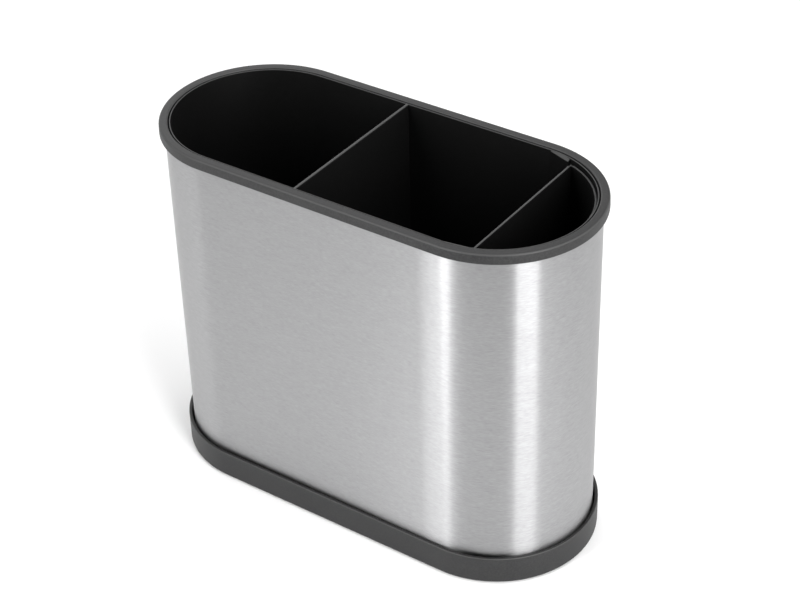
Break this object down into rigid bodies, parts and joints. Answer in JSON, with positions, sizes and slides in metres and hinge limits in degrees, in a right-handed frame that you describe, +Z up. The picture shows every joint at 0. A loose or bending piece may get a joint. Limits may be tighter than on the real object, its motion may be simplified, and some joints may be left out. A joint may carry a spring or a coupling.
{
  "type": "cutlery drainer",
  "caption": "Obround cutlery drainer: a brushed steel sleeve with a dark moulded rim stands in a drip tray and holds a lift-out divided liner and a small lift-out end cup.",
  "frame": {"origin": "on the surface that the drainer stands on, under the middle of its outline", "axes": "+X along the drainer towards the end cup, the front long side faces -Y, +Z up"},
  "size_m": [0.22, 0.096, 0.18],
  "materials": {
    "charcoal_plastic": "fine matt moulded texture, charcoal",
    "brushed_steel": "brushed along the sleeve, satin",
    "rim_plastic": "fine matt moulded texture, charcoal",
    "liner_plastic": "satin moulded, near black",
    "cup_plastic": "satin moulded, near black",
    "foot_rubber": "soft matt"
  },
  "bodies": {
    "tray": {"drip_tray": "charcoal_plastic", "foot_front_left": "foot_rubber", "foot_front_right": "foot_rubber", "foot_rear_left": "foot_rubber", "foot_rear_right": "foot_rubber"},
    "sleeve": {"steel_sleeve": "brushed_steel", "top_rim": "rim_plastic"},
    "liner": {"liner": "liner_plastic"},
    "cup": {"end_cup": "cup_plastic"}
  },
  "joints": [
    {"name": "sleeve_lift", "type": "slide", "parent": "tray", "child": "sleeve", "axis": [0, 0, 1], "range_m": [0, 0.18]},
    {"name": "liner_lift", "type": "slide", "parent": "tray", "child": "liner", "axis": [0, 0, 1], "range_m": [0, 0.18]},
    {"name": "cup_lift", "type": "slide", "parent": "liner", "child": "cup", "axis": [0, 0, 1], "range_m": [0, 0.17]}
  ]
}
